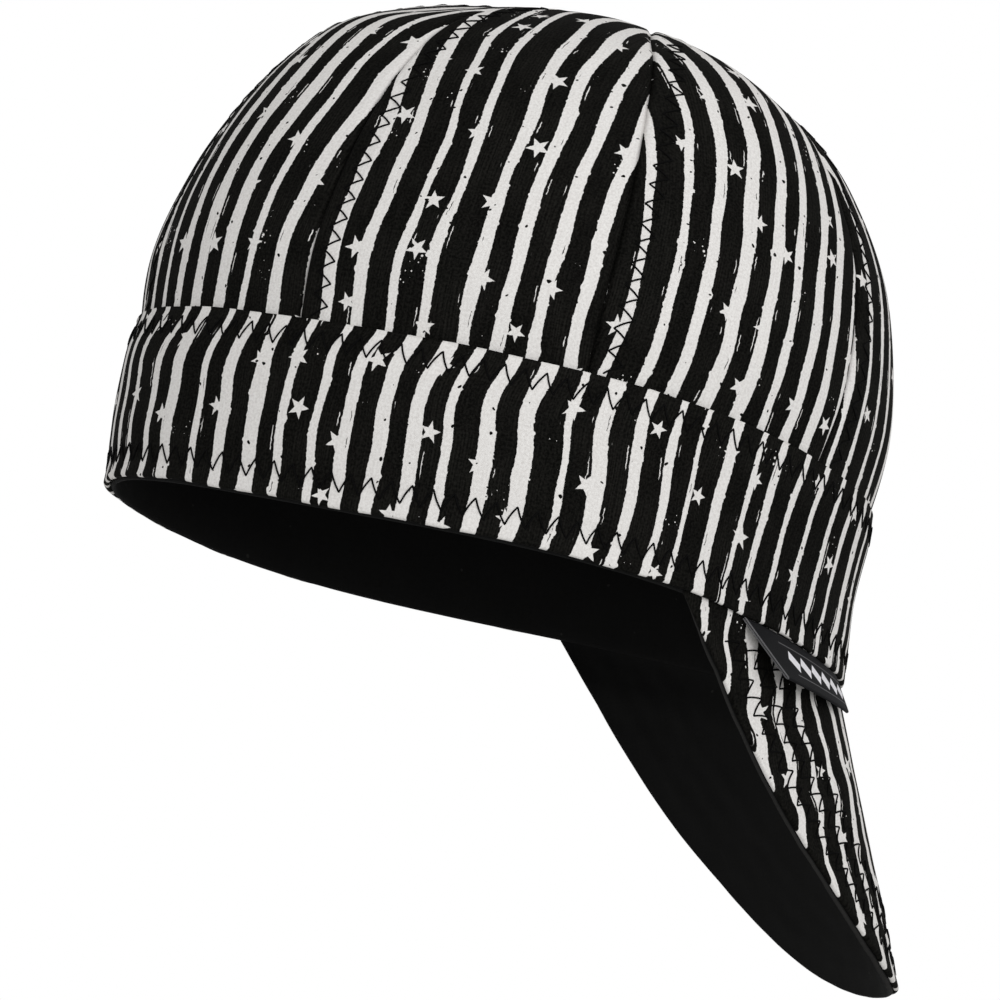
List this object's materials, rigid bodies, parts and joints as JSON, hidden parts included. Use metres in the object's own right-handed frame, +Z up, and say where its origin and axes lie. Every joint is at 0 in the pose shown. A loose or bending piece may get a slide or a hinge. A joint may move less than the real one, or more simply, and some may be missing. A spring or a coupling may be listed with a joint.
{
  "type": "welding cap",
  "caption": "soft panelled cotton cap with a deep band and a short bill turned to the back over the neck, in wobbly black and white stripes",
  "frame": {"origin": "middle of the head opening, level with the rim, where the cap sits on a head", "axes": "+Z up along the cap's axis towards the crown, -Y towards the forehead, +Y towards the back where the bill hangs, +X towards the wearer's left"},
  "size_m": [0.1744, 0.2362, 0.2277],
  "materials": {
    "printed_cotton": "matte cotton twill printed with black and white stripes and small stars",
    "black_cotton": "plain black cotton, matte",
    "woven_label": "tightly woven folded label, faint satin sheen"
  },
  "bodies": {
    "root": {"crown_panel_1": "printed_cotton", "crown_panel_2": "printed_cotton", "crown_panel_3": "printed_cotton", "crown_panel_4": "printed_cotton", "crown_panel_5": "printed_cotton", "crown_panel_6": "printed_cotton", "crown_panel_7": "printed_cotton", "crown_panel_8": "printed_cotton", "band": "printed_cotton", "bill_top": "printed_cotton", "sweatband": "black_cotton", "bill_underside": "black_cotton", "label": "woven_label"}
  },
  "joints": []
}
